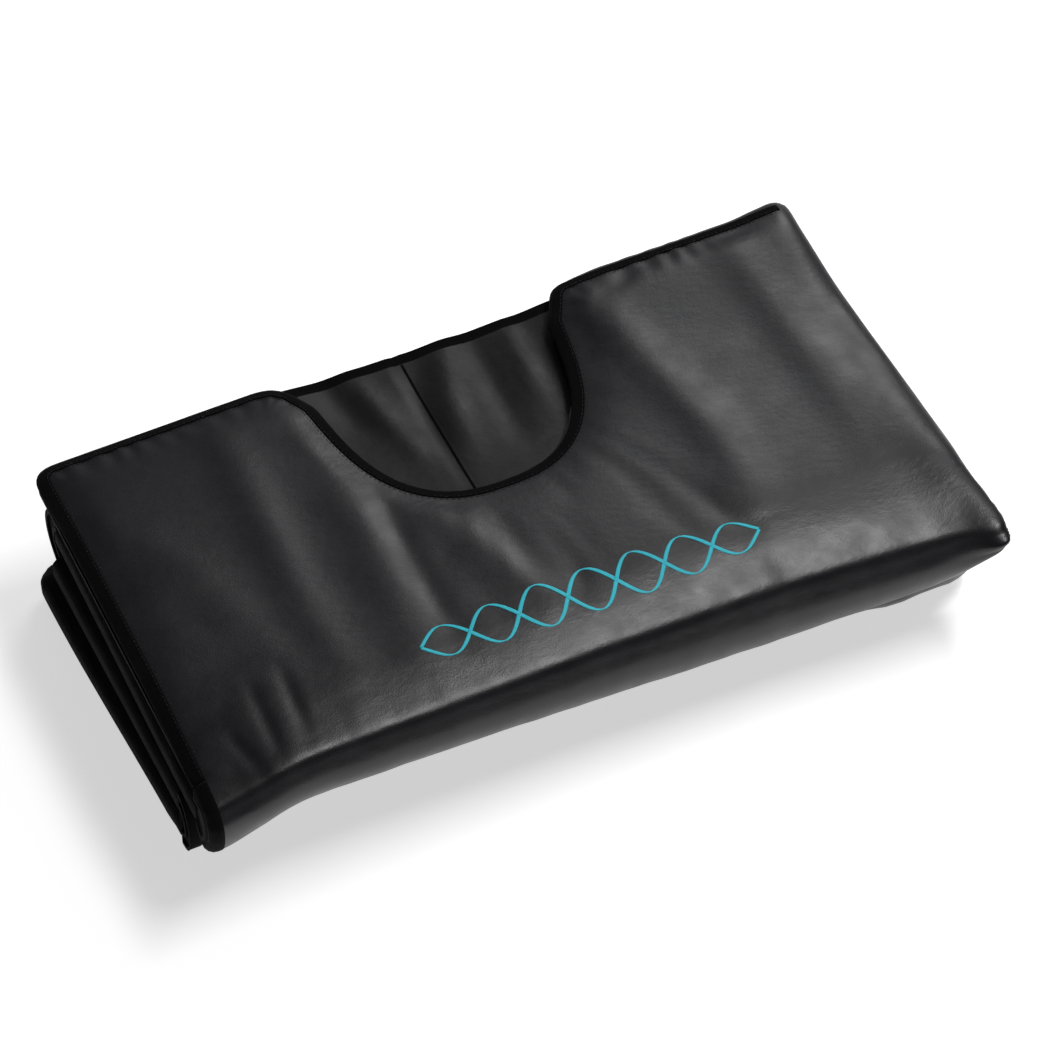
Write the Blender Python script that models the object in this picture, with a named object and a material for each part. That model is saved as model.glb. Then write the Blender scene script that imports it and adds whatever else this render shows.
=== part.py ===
"""Infrared sauna blanket, folded in four for storage.

A padded sleeping-bag shape of two leaves joined along its right side, 1.8 m long and 0.88 m
wide, zigzag-folded into a stack of four panels. From the top: head, chest, leg and foot
panel. The head panel's upper leaf has the neck cut-out, and its free corner peels open.
Run it with: blender --background --python part.py
Metres, +Z up, +X along the hem, +Y to the rear (the hem side), origin under the stack.
"""

import math

import bmesh
import bpy
from mathutils import Vector

COLLECTION_NAME = "infrared_sauna_blanket"

# Driving dimensions
PANEL_WIDTH = 0.880
STACK_DEPTH = 0.500
PANEL_THICKNESS = 0.0475
PANEL_GAP = 0.0006
LEAF_GAP = 0.0006
CLEARANCE = 0.0003

# Layers of one leaf, from the outside in; the insulation takes what is left
SHELL = 0.0012
HEATER = 0.0010
LINING = 0.0012
LEAF = (PANEL_THICKNESS - LEAF_GAP) / 2
INSULATION = LEAF - SHELL - HEATER - LINING - 3 * CLEARANCE

# Edges
TAPE_WIDTH = 0.0135
EDGE = TAPE_WIDTH + CLEARANCE
CLOSURE_WIDTH = 0.035
CLOSURE = 0.0024

# The fourth panel's fold bulges past the right side of the stack, the first one a little
FOLD_BULGE = {"fold_head": 0.006, "fold_middle": 0.0, "fold_foot": 0.028}
FOLD_RECESS = {"fold_head": 0.0, "fold_middle": 0.003, "fold_foot": 0.055}
FOOT_HEM_RECESS = 0.010

X_RIGHT = (PANEL_WIDTH - FOLD_BULGE["fold_foot"]) / 2
X_LEFT = X_RIGHT - PANEL_WIDTH
X_MIDDLE = (X_LEFT + X_RIGHT) / 2
Y_FRONT = -STACK_DEPTH / 2
Y_HEM = STACK_DEPTH / 2
STEP = PANEL_THICKNESS + PANEL_GAP
FOLD_RADIUS = PANEL_THICKNESS + PANEL_GAP / 2

# Planes where the flat panels end and the folds begin
Y_FOLD_HEAD = Y_FRONT + FOLD_RECESS["fold_head"] + FOLD_RADIUS + CLEARANCE
Y_FOLD_FOOT = Y_FRONT + FOLD_RECESS["fold_foot"] + FOLD_RADIUS + CLEARANCE
Y_FOLD_MIDDLE = Y_HEM - FOLD_RECESS["fold_middle"] - FOLD_RADIUS - CLEARANCE
Y_FOOT_HEM = Y_HEM - FOOT_HEM_RECESS

# Panels: base height, front end, rear end, and which leaf is on top
PANELS = {
    "foot": (0.0, Y_FOLD_FOOT, Y_FOOT_HEM, "back"),
    "leg": (STEP, Y_FOLD_FOOT, Y_FOLD_MIDDLE, "front"),
    "chest": (2 * STEP, Y_FOLD_HEAD, Y_FOLD_MIDDLE, "back"),
    "head": (3 * STEP, Y_FOLD_HEAD, Y_HEM, "front"),
}
HEM_PANELS = ("foot", "head")

# Folds: height and plane of the axis, and the side that the bend is on (-1 is the front)
FOLDS = {
    "fold_foot": (STEP - PANEL_GAP / 2, Y_FOLD_FOOT, -1, "foot"),
    "fold_middle": (2 * STEP - PANEL_GAP / 2, Y_FOLD_MIDDLE, 1, "leg"),
    "fold_head": (3 * STEP - PANEL_GAP / 2, Y_FOLD_HEAD, -1, "chest"),
}
BEND_SEGMENTS = 16

# Neck cut-out in the head panel's upper leaf
NECK_HALF_WIDTH = 0.136
NECK_DEPTH = 0.226
NECK_SHAPE = 2.6
NECK_FLARE = 0.026
NECK_FLARE_LENGTH = 0.020
NECK_POINTS = 36

# Free corner of that leaf: how far it reaches along the side and along the hem
CORNER_ALONG_SIDE = 0.280
CORNER_ALONG_HEM = 0.245

# Heating ribbon
RIBBON_WIDTH = 0.008
RIBBON_PITCH = 0.050
RIBBON_SIDE_MARGIN = 0.075
RIBBON_END_MARGIN = 0.020

# Power inlet in the foot hem
INLET_X = 0.280
INLET_SIZE = (0.058, 0.045, 0.0180)
INLET_WALL = 0.0020
INLET_PROUD = 0.004
PIN_RADIUS = 0.0016
PIN_LENGTH = 0.014
PIN_SPACING = 0.014
LEAD_WIDTH = 0.005

# Temperature parts, set in pockets of the foot panel's insulation
CAPSULE_SIZE = (0.026, 0.012, 0.0055)
CUTOUT_X = 0.180
SENSOR_X = 0.080

MATERIALS = {
    "shell": ((0.020, 0.020, 0.023), 0.42, 0.0),
    "tape": ((0.010, 0.010, 0.010), 0.85, 0.0),
    "insulation": ((0.72, 0.72, 0.70), 0.95, 0.0),
    "lining": ((0.016, 0.016, 0.018), 0.50, 0.0),
    "heater": ((0.045, 0.045, 0.050), 0.60, 0.3),
    "hook": ((0.012, 0.012, 0.013), 0.80, 0.0),
    "loop": ((0.014, 0.014, 0.015), 0.95, 0.0),
    "plastic": ((0.018, 0.018, 0.020), 0.45, 0.0),
    "contact": ((0.80, 0.62, 0.28), 0.30, 1.0),
    "lead": ((0.70, 0.70, 0.68), 0.55, 0.0),
}


def clear_scene():
    for thing in list(bpy.data.objects):
        bpy.data.objects.remove(thing)


def make_collection(name):
    collection = bpy.data.collections.new(name)
    bpy.context.scene.collection.children.link(collection)
    return collection


def make_materials():
    made = {}
    for name, (colour, roughness, metallic) in MATERIALS.items():
        material = bpy.data.materials.new(name)
        material.use_nodes = True
        shader = material.node_tree.nodes["Principled BSDF"]
        shader.inputs["Base Color"].default_value = (*colour, 1.0)
        shader.inputs["Roughness"].default_value = roughness
        shader.inputs["Metallic"].default_value = metallic
        material.diffuse_color = (*colour, 1.0)
        made[name] = material
    return made


# Turns that stand a flat outline up: its plane, and the way its thickness runs
PLAN = (0.0, 0.0, 0.0)
ALONG_Y = (math.pi / 2, 0.0, 0.0)
ALONG_X = (math.pi / 2, 0.0, math.pi / 2)


def outline_mesh(name, points, depth, rotation, location):
    """A flat outline given half its depth either way, as a welded mesh object."""
    curve = bpy.data.curves.new(name, "CURVE")
    curve.dimensions = "2D"
    curve.fill_mode = "BOTH"
    curve.extrude = depth / 2
    spline = curve.splines.new("POLY")
    spline.points.add(len(points) - 1)
    for point, (u, v) in zip(spline.points, points):
        point.co = (u, v, 0.0, 1.0)
    spline.use_cyclic_u = True
    drawn = bpy.data.objects.new(name, curve)
    drawn.rotation_euler = rotation
    drawn.location = location
    bpy.context.scene.collection.objects.link(drawn)
    bpy.context.view_layer.update()
    graph = bpy.context.evaluated_depsgraph_get()
    mesh = bpy.data.meshes.new_from_object(drawn.evaluated_get(graph))
    mesh.name = name
    place = drawn.matrix_world.copy()
    bpy.data.objects.remove(drawn)
    welded = bmesh.new()
    welded.from_mesh(mesh)
    bmesh.ops.remove_doubles(welded, verts=welded.verts, dist=1e-6)
    bmesh.ops.recalc_face_normals(welded, faces=welded.faces)
    welded.to_mesh(mesh)
    welded.free()
    solid = bpy.data.objects.new(name, mesh)
    solid.matrix_world = place
    return solid


class Blanket:
    """Collects the nodes, with their materials, their parent empties and the cutters."""

    def __init__(self):
        self.parts = make_collection(COLLECTION_NAME)
        self.cutters = make_collection("cutters")
        self.materials = make_materials()
        self.pivots = {}

    def pivot(self, name, location, direction=(1.0, 0.0, 0.0), parent=None):
        empty = bpy.data.objects.new(name, None)
        empty.empty_display_type = "ARROWS"
        empty.empty_display_size = 0.05
        turn = Vector((1.0, 0.0, 0.0)).rotation_difference(Vector(direction))
        empty.rotation_mode = "QUATERNION"
        empty.rotation_quaternion = turn
        empty.location = location
        self.parts.objects.link(empty)
        bpy.context.view_layer.update()
        if parent:
            self.attach(empty, parent)
        self.pivots[name] = empty

    def attach(self, thing, pivot_name):
        pivot = self.pivots[pivot_name]
        bpy.context.view_layer.update()
        thing.parent = pivot
        thing.matrix_parent_inverse = pivot.matrix_world.inverted()
        bpy.context.view_layer.update()

    def node(self, solid, material, pivot_name=None, smooth=False):
        self.parts.objects.link(solid)
        solid.data.materials.clear()
        solid.data.materials.append(self.materials[material])
        if smooth:
            solid.data.shade_smooth()
            solid.data.set_sharp_from_angle(angle=math.radians(35))
        if pivot_name:
            self.attach(solid, pivot_name)
        return solid

    def cutter(self, solid):
        self.cutters.objects.link(solid)
        solid.hide_render = True
        solid.display_type = "WIRE"
        return solid


def cut(solid, cutter):
    """Take the cutter's space out of the solid."""
    boolean = solid.modifiers.new("cut_" + cutter.name, "BOOLEAN")
    boolean.operation = "DIFFERENCE"
    boolean.solver = "EXACT"
    boolean.object = cutter


def rectangle(low_u, high_u, low_v, high_v):
    return [(low_u, low_v), (high_u, low_v), (high_u, high_v), (low_u, high_v)]


def plan_solid(name, points, low_z, high_z):
    return outline_mesh(name, points, high_z - low_z, PLAN, (0.0, 0.0, (low_z + high_z) / 2))


def box(name, low, high):
    points = rectangle(low[0], high[0], low[1], high[1])
    return plan_solid(name, points, low[2], high[2])


def arc(centre, radius, start, end, segments):
    """Points on a circle from start to end, in degrees."""
    points = []
    for step in range(segments + 1):
        angle = math.radians(start + (end - start) * step / segments)
        u = centre[0] + radius * math.cos(angle)
        v = centre[1] + radius * math.sin(angle)
        points.append((u, v))
    return points


def offset_path(points, distance):
    """The path moved to its left by distance, mitred at its corners."""
    moved = []
    for index, point in enumerate(points):
        here = Vector(point)
        ahead = Vector(points[min(index + 1, len(points) - 1)]) - here
        behind = here - Vector(points[max(index - 1, 0)])
        if ahead.length < 1e-9:
            ahead = behind
        if behind.length < 1e-9:
            behind = ahead
        left_ahead = Vector((-ahead.y, ahead.x)).normalized()
        left_behind = Vector((-behind.y, behind.x)).normalized()
        mitre = (left_ahead + left_behind).normalized()
        reach = distance / max(mitre.dot(left_ahead), 0.4)
        moved.append(tuple(here + mitre * reach))
    return moved


def band_outline(points, width):
    """A band along the path, to its left."""
    return points + offset_path(points, width)[::-1]


def layer_outline(offset, thickness, x_left):
    """One layer of a panel seen from the front: both leaves and the round side fold."""
    outer = PANEL_THICKNESS / 2 - offset
    inner = outer - thickness
    centre = (X_RIGHT - PANEL_THICKNESS / 2, 0.0)
    segments = 10 if inner > 0.004 else 4
    points = [(x_left, outer)]
    points += arc(centre, outer, 90, -90, 10)
    points += [(x_left, -outer), (x_left, -inner)]
    points += arc(centre, inner, -90, 90, segments)
    points += [(x_left, inner)]
    return points


def panel_ends(panel):
    """Front and rear end of a panel's layers; a hem leaves room for its tape."""
    base, y_front, y_rear, top_leaf = PANELS[panel]
    if panel in HEM_PANELS:
        return y_front, y_rear - EDGE
    return y_front, y_rear


def panel_layer(name, panel, offset, thickness, x_left):
    y_front, y_rear = panel_ends(panel)
    middle = PANELS[panel][0] + PANEL_THICKNESS / 2
    points = layer_outline(offset, thickness, x_left)
    place = (0.0, (y_front + y_rear) / 2, middle)
    return outline_mesh(name, points, y_rear - y_front, ALONG_Y, place)


def leaf_side(panel, leaf):
    """1 for the leaf that is on top in the folded stack, -1 for the other."""
    return 1 if PANELS[panel][3] == leaf else -1


def leaf_span(panel, leaf, near, thickness):
    """Heights of a layer whose inner face is this far from the plane between the leaves."""
    middle = PANELS[panel][0] + PANEL_THICKNESS / 2
    side = leaf_side(panel, leaf)
    heights = sorted((middle + side * near, middle + side * (near + thickness)))
    return heights[0], heights[1]


LINING_NEAR = LEAF_GAP / 2
HEATER_NEAR = LINING_NEAR + LINING + CLEARANCE
INSULATION_NEAR = HEATER_NEAR + HEATER + CLEARANCE
SHELL_NEAR = INSULATION_NEAR + INSULATION + CLEARANCE


def neck_path():
    """Free edge of the cut-out, from the right end at the hem round to the left end."""
    points = []
    for step in range(NECK_POINTS + 1):
        turn = math.pi * step / NECK_POINTS
        depth = NECK_DEPTH * math.sin(turn) ** (2 / NECK_SHAPE)
        across = abs(math.cos(turn)) ** (2 / NECK_SHAPE)
        side = 1 if math.cos(turn) > 0 else -1
        flare = NECK_FLARE * math.exp(-depth / NECK_FLARE_LENGTH)
        x = X_MIDDLE + side * (NECK_HALF_WIDTH * across + flare)
        if step in (0, NECK_POINTS):
            depth = 0.0
        points.append((x, Y_HEM - depth))
    return points


def corner_line_y(x):
    """The line that the free corner peels along."""
    y_start = Y_HEM - CORNER_ALONG_SIDE
    return y_start + (x - X_LEFT) * CORNER_ALONG_SIDE / CORNER_ALONG_HEM


def corner_line_x(y):
    y_start = Y_HEM - CORNER_ALONG_SIDE
    return X_LEFT + (y - y_start) * CORNER_ALONG_HEM / CORNER_ALONG_SIDE


CORNER_GAP = 0.0008


def corner_outline(x_start):
    """The peeling corner's layers in plan, right of x_start."""
    y_rear = Y_HEM - EDGE
    return [
        (x_start, corner_line_y(x_start) + CORNER_GAP),
        (corner_line_x(y_rear) - CORNER_GAP, y_rear),
        (x_start, y_rear),
    ]


def head_cutters(blanket):
    """What the head panel's upper leaf lacks: the neck cut-out and the free corner."""
    low, high = leaf_span("head", "front", -LEAF_GAP / 4, LEAF + 0.02)
    edge = offset_path(neck_path(), EDGE)
    above = Y_HEM + 0.03
    neck = edge + [(edge[-1][0], above), (edge[0][0], above)]
    far = 0.05
    corner = [
        (X_LEFT - far, corner_line_y(X_LEFT - far)),
        (corner_line_x(above), above),
        (X_LEFT - far, above),
    ]
    return (
        blanket.cutter(plan_solid("neck_cutter", neck, low, high)),
        blanket.cutter(plan_solid("corner_cutter", corner, low, high)),
    )


def inlet_box(margin):
    """Space for the inlet in the foot panel's back leaf, grown by margin."""
    width, length, height = INLET_SIZE
    low, high = leaf_span("foot", "back", HEATER_NEAR, height)
    y_rear = Y_FOOT_HEM + INLET_PROUD
    return (
        (INLET_X - width / 2 - margin, y_rear - length - margin, low - margin),
        (INLET_X + width / 2 + margin, y_rear + margin, high + margin),
    )


def inlet_side(side):
    """Where the hem tape stops, beside the inlet."""
    return INLET_X + side * (INLET_SIZE[0] / 2 + CLEARANCE)


def capsule_box(x, margin):
    """Pocket for a temperature part, in the insulation just beyond the heater."""
    length, width, height = CAPSULE_SIZE
    low, high = leaf_span("foot", "back", INSULATION_NEAR - CLEARANCE + margin, height)
    y = Y_FOOT_HEM - 0.090
    return (
        (x - length / 2 - margin, y - width / 2 - margin, low - 2 * margin),
        (x + length / 2 + margin, y + width / 2 + margin, high + margin),
    )


def foot_cutters(blanket):
    cutters = {"inlet": blanket.cutter(box("inlet_cutter", *inlet_box(CLEARANCE)))}
    for name, x in (("cutout", CUTOUT_X), ("sensor", SENSOR_X)):
        cutters[name] = blanket.cutter(box(name + "_cutter", *capsule_box(x, CLEARANCE)))
    return cutters


def ribbon_outline(panel, leaf):
    """A heating ribbon that runs to and fro across one leaf of a panel."""
    y_front, y_rear = panel_ends(panel)
    low = y_front + RIBBON_END_MARGIN
    high = y_rear - RIBBON_END_MARGIN
    if (panel, leaf) == ("head", "front"):
        high = Y_HEM - NECK_DEPTH - EDGE - RIBBON_END_MARGIN
    if panel == "foot":
        high = Y_FOOT_HEM - INLET_SIZE[1] - RIBBON_END_MARGIN
    x_ends = (X_LEFT + RIBBON_SIDE_MARGIN, X_RIGHT - RIBBON_SIDE_MARGIN)
    runs = max(2, int((high - low) / RIBBON_PITCH) + 1)
    path = []
    for run in range(runs):
        y = high - (high - low) * run / (runs - 1)
        first, last = x_ends if run % 2 else x_ends[::-1]
        path += [(first, y), (last, y)]
    half = RIBBON_WIDTH / 2
    return offset_path(path, half) + offset_path(path, -half)[::-1]


def add_panel(blanket, panel, pivot_name):
    """The three layers that both leaves share, and each leaf's heating ribbon."""
    edge_x = X_LEFT + EDGE
    lining_x = X_LEFT + EDGE + CLOSURE_WIDTH + CLEARANCE
    offsets = {
        "shell": (0.0, SHELL, edge_x),
        "insulation": (SHELL + CLEARANCE, INSULATION, edge_x),
        "lining": (PANEL_THICKNESS / 2 - LINING_NEAR - LINING, LINING, lining_x),
    }
    layers = {}
    for layer, (offset, thickness, x_left) in offsets.items():
        name = f"{panel}_{layer}"
        solid = panel_layer(name, panel, offset, thickness, x_left)
        layers[layer] = blanket.node(solid, layer, pivot_name, smooth=True)
    for leaf in ("front", "back"):
        low, high = leaf_span(panel, leaf, HEATER_NEAR, HEATER)
        ribbon = plan_solid(f"{panel}_{leaf}_heater", ribbon_outline(panel, leaf), low, high)
        blanket.node(ribbon, "heater", pivot_name)
    return layers


def side_path(y_from, y_to):
    """Free left edge, from the front towards the rear; the leaf is on its right."""
    return [(X_LEFT, y_to), (X_LEFT, y_from)]


def add_side_tape(blanket, name, panel, leaf, path, pivot_name):
    low, high = leaf_span(panel, leaf, LEAF_GAP / 2, LEAF)
    solid = plan_solid(name, band_outline(path, TAPE_WIDTH), low, high)
    blanket.node(solid, "tape", pivot_name)


def add_tapes(blanket, panel, pivot_name):
    """Binding tape on the free edges: the left side, and the hem where there is one."""
    y_front, y_rear = PANELS[panel][1], PANELS[panel][2]
    for leaf in ("front", "back"):
        if (panel, leaf) == ("head", "front"):
            continue
        path = side_path(y_front, y_rear)
        if (panel, leaf) == ("foot", "back"):
            path = [(inlet_side(-1), y_rear)] + path
        elif panel in HEM_PANELS:
            path = [(X_RIGHT, y_rear)] + path
        add_side_tape(blanket, f"{panel}_{leaf}_tape", panel, leaf, path, pivot_name)


def add_foot_hem_tape(blanket):
    """The back leaf's hem tape goes on past the inlet."""
    path = [(X_RIGHT, Y_FOOT_HEM), (inlet_side(1), Y_FOOT_HEM)]
    add_side_tape(blanket, "foot_hem_tape", "foot", "back", path, None)


def add_head_front_tapes(blanket):
    """The upper leaf's tape: round the neck, down the side, and round the free corner."""
    neck = neck_path()
    hem_end = corner_line_x(Y_HEM) + CORNER_GAP
    neck = [(X_RIGHT, Y_HEM)] + neck + [(hem_end, Y_HEM)]
    add_side_tape(blanket, "neck_tape", "head", "front", neck, "pivot_fold_head")
    y_end = corner_line_y(X_LEFT) - CORNER_GAP
    side = side_path(Y_FOLD_HEAD, y_end)
    add_side_tape(blanket, "head_front_tape", "head", "front", side, "pivot_fold_head")
    corner = [
        (corner_line_x(Y_HEM - TAPE_WIDTH) - CORNER_GAP, Y_HEM),
        (X_LEFT, Y_HEM),
        (X_LEFT, corner_line_y(X_LEFT + TAPE_WIDTH) + CORNER_GAP),
    ]
    add_side_tape(blanket, "corner_tape", "head", "front", corner, "pivot_corner")


def closure_span(panel, leaf):
    return leaf_span(panel, leaf, LEAF_GAP / 2, CLOSURE)


def add_closures(blanket, panel, pivot_name):
    """Loop strip on the front leaf and hook strip on the back leaf, face to face."""
    y_front, y_rear = panel_ends(panel)
    low_x = X_LEFT + EDGE
    high_x = low_x + CLOSURE_WIDTH
    for leaf, kind in (("front", "loop"), ("back", "hook")):
        points = rectangle(low_x, high_x, y_front, y_rear)
        if (panel, leaf) == ("head", "front"):
            points = [
                (low_x, y_front),
                (high_x, y_front),
                (high_x, corner_line_y(high_x) - CORNER_GAP),
                (low_x, corner_line_y(low_x) - CORNER_GAP),
            ]
        solid = plan_solid(f"{panel}_{kind}_strip", points, *closure_span(panel, leaf))
        blanket.node(solid, kind, pivot_name)


def add_corner(blanket):
    """The upper leaf's free corner, which peels off the hook strip."""
    spans = {
        "shell": (SHELL_NEAR, SHELL, X_LEFT + EDGE),
        "insulation": (INSULATION_NEAR, INSULATION, X_LEFT + EDGE),
        "lining": (LINING_NEAR, LINING, X_LEFT + EDGE + CLOSURE_WIDTH + CLEARANCE),
    }
    for layer, (near, thickness, x_start) in spans.items():
        low, high = leaf_span("head", "front", near, thickness)
        solid = plan_solid("corner_" + layer, corner_outline(x_start), low, high)
        blanket.node(solid, layer, "pivot_corner")
    low_x = X_LEFT + EDGE
    high_x = low_x + CLOSURE_WIDTH
    y_rear = Y_HEM - EDGE
    strip = [
        (low_x, corner_line_y(low_x) + CORNER_GAP),
        (high_x, corner_line_y(high_x) + CORNER_GAP),
        (high_x, y_rear),
        (low_x, y_rear),
    ]
    solid = plan_solid("corner_loop_strip", strip, *closure_span("head", "front"))
    blanket.node(solid, "loop", "pivot_corner")


def add_fold(blanket, fold, pivot_name):
    """A fold: the outer skin bent half round, and the leaves' filling bent inside it."""
    height, plane, side, _ = FOLDS[fold]
    x_end = X_RIGHT + FOLD_BULGE[fold]
    start, end = (90, 270) if side < 0 else (-90, 90)
    centre = (side * CLEARANCE, 0.0)
    inner = FOLD_RADIUS - SHELL
    skin = arc(centre, FOLD_RADIUS, start, end, BEND_SEGMENTS)
    skin += arc(centre, inner, end, start, BEND_SEGMENTS)
    filling = arc(centre, inner - CLEARANCE, start, end, BEND_SEGMENTS)
    place = ((X_LEFT + x_end) / 2, plane, height)
    shell = outline_mesh(fold + "_shell", skin, x_end - X_LEFT, ALONG_X, place)
    blanket.node(shell, "shell", pivot_name, smooth=True)
    core = outline_mesh(fold + "_filling", filling, x_end - X_LEFT, ALONG_X, place)
    blanket.node(core, "insulation", pivot_name, smooth=True)


def add_inlet(blanket):
    """Power inlet: open housing, contact carrier and three round contacts."""
    low, high = inlet_box(0.0)
    wall = INLET_WALL
    housing = blanket.node(box("inlet_housing", low, high), "plastic")
    hollow_low = (low[0] + wall, low[1] + wall, low[2] + wall)
    hollow_high = (high[0] - wall, high[1] + wall, high[2] - wall)
    hollow = blanket.cutter(box("inlet_hollow", hollow_low, hollow_high))
    cut(housing, hollow)
    gap = CLEARANCE
    carrier_end = high[1] - PIN_LENGTH - 2 * wall
    carrier_low = tuple(value + gap for value in hollow_low)
    carrier_high = (hollow_high[0] - gap, carrier_end, hollow_high[2] - gap)
    blanket.node(box("contact_carrier", carrier_low, carrier_high), "plastic")
    middle_z = (low[2] + high[2]) / 2
    for name, step in (("live", -1), ("earth", 0), ("neutral", 1)):
        circle = arc((0.0, 0.0), PIN_RADIUS, 0, 330, 11)
        place = (INLET_X + step * PIN_SPACING, carrier_end + gap + PIN_LENGTH / 2, middle_z)
        pin = outline_mesh(name + "_contact", circle, PIN_LENGTH, ALONG_Y, place)
        blanket.node(pin, "contact", smooth=True)


def add_lead(blanket):
    """Flat lead from the inlet to the foot panel's heating ribbon."""
    low, high = leaf_span("foot", "back", HEATER_NEAR, HEATER)
    y_start = inlet_box(CLEARANCE)[0][1]
    y_end = Y_FOOT_HEM - INLET_SIZE[1] - RIBBON_END_MARGIN + RIBBON_WIDTH / 2 + CLEARANCE
    points = rectangle(INLET_X - LEAD_WIDTH / 2, INLET_X + LEAD_WIDTH / 2, y_end, y_start)
    blanket.node(plan_solid("power_lead", points, low, high), "lead")


def add_capsules(blanket):
    for name, x in (("thermal_cutout", CUTOUT_X), ("temperature_sensor", SENSOR_X)):
        blanket.node(box(name, *capsule_box(x, 0.0)), "plastic")


def add_pivots(blanket):
    """An empty on each joint's axis, in the order that the panels hang on each other."""
    parents = {"fold_foot": None, "fold_middle": "pivot_fold_foot"}
    parents["fold_head"] = "pivot_fold_middle"
    for fold, (height, plane, _, _) in FOLDS.items():
        blanket.pivot("pivot_" + fold, (X_MIDDLE, plane, height), parent=parents[fold])
    top = PANELS["head"][0] + PANEL_THICKNESS
    start = Vector((X_LEFT, corner_line_y(X_LEFT), top))
    end = Vector((corner_line_x(Y_HEM), Y_HEM, top))
    direction = (end - start).normalized()
    blanket.pivot("pivot_corner", start, direction, parent="pivot_fold_head")


def build():
    clear_scene()
    blanket = Blanket()
    add_pivots(blanket)
    carried_by = {"foot": None, "leg": "pivot_fold_foot"}
    carried_by["chest"] = "pivot_fold_middle"
    carried_by["head"] = "pivot_fold_head"
    layers = {}
    for panel, pivot_name in carried_by.items():
        layers[panel] = add_panel(blanket, panel, pivot_name)
        add_tapes(blanket, panel, pivot_name)
        add_closures(blanket, panel, pivot_name)
    add_foot_hem_tape(blanket)
    add_head_front_tapes(blanket)
    add_corner(blanket)
    for fold, (_, _, _, panel) in FOLDS.items():
        add_fold(blanket, fold, carried_by[panel])
    add_inlet(blanket)
    add_lead(blanket)
    add_capsules(blanket)
    for cutter in head_cutters(blanket):
        for solid in layers["head"].values():
            cut(solid, cutter)
    cutters = foot_cutters(blanket)
    for layer in ("insulation", "lining"):
        cut(layers["foot"][layer], cutters["inlet"])
    for name in ("cutout", "sensor"):
        cut(layers["foot"]["insulation"], cutters[name])
    bpy.context.view_layer.update()


build()
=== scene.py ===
"""Infrared sauna blanket, folded in four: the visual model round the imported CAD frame."""

import math

import bmesh
import bpy
import numpy as np
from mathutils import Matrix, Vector, noise
from mathutils.bvhtree import BVHTree


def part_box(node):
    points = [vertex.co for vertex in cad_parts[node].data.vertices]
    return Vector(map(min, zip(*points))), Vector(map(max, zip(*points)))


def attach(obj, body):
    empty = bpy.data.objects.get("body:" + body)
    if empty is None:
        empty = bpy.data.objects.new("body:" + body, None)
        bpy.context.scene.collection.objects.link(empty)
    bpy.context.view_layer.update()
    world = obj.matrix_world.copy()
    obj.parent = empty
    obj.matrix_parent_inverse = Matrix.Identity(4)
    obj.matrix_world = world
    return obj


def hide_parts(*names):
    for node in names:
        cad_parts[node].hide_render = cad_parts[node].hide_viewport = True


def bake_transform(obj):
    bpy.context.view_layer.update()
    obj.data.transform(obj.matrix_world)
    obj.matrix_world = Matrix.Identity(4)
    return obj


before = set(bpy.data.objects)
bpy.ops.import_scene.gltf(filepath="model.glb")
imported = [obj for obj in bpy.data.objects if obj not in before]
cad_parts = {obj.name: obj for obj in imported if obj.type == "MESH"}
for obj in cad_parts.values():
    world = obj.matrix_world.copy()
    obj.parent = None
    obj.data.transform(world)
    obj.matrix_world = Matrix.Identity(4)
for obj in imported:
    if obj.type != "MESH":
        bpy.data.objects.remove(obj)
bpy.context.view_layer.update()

# ---------------- sizes, from the frame
X_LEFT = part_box("head_back_tape")[0].x
X_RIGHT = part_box("head_shell")[1].x
X_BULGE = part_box("fold_foot_shell")[1].x
X_MIDDLE = (X_LEFT + X_RIGHT) / 2
Y_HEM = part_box("head_back_tape")[1].y
Y_FOOT_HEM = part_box("foot_front_tape")[1].y
Y_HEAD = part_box("head_insulation")[0].y
Y_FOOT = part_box("foot_insulation")[0].y
Y_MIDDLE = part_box("leg_insulation")[1].y
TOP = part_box("head_shell")[1].z
PANEL_Z = {}
for panel in ("foot", "leg", "chest", "head"):
    PANEL_Z[panel] = tuple(corner.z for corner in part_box(panel + "_shell"))
THICK = PANEL_Z["head"][1] - PANEL_Z["head"][0]
LEAF = THICK / 2
LEAF_LOW = PANEL_Z["head"][0] + LEAF + 0.0003
TAPE = 0.0135
CORNER_ROUND = 0.026
FOLD_R = (PANEL_Z["head"][1] - PANEL_Z["chest"][0]) / 2
AXIS_HEAD_Z = (PANEL_Z["head"][1] + PANEL_Z["chest"][0]) / 2
AXIS_MIDDLE_Z = (PANEL_Z["chest"][1] + PANEL_Z["leg"][0]) / 2
AXIS_FOOT_Z = (PANEL_Z["leg"][1] + PANEL_Z["foot"][0]) / 2

# Neck cut-out and the free corner, as the CAD has them
NECK_HALF, NECK_DEPTH, NECK_SHAPE = 0.136, 0.226, 2.6
NECK_FLARE, NECK_FLARE_LENGTH = 0.026, 0.020

# Heights from which a ray looks down on the stack, and up at the top leaf from under it
Z_ABOVE = TOP + 0.04
Z_UNDER_LEAF = AXIS_HEAD_Z - 0.010

# How the front fold lies at seven places from left to right: its radius, where its centre is,
# how far behind the centre the top starts to roll over, and how much lower the centre lies
ACROSS = [X_LEFT, -0.34, -0.014, 0.20, 0.34, 0.40, X_RIGHT]
NOSE_RADIUS = [0.0360, 0.0395, 0.0480, 0.0520, 0.0490, 0.0465, 0.0400]
NOSE_CENTRE = [-0.2150, -0.2025, -0.1910, -0.1890, -0.2005, -0.2085, -0.2195]
ROLL_START = [0.020, 0.026, 0.048, 0.070, 0.082, 0.086, 0.080]
ROLL_SINK = [0.0, 0.003, 0.012, 0.017, 0.014, 0.008, 0.0]

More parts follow.
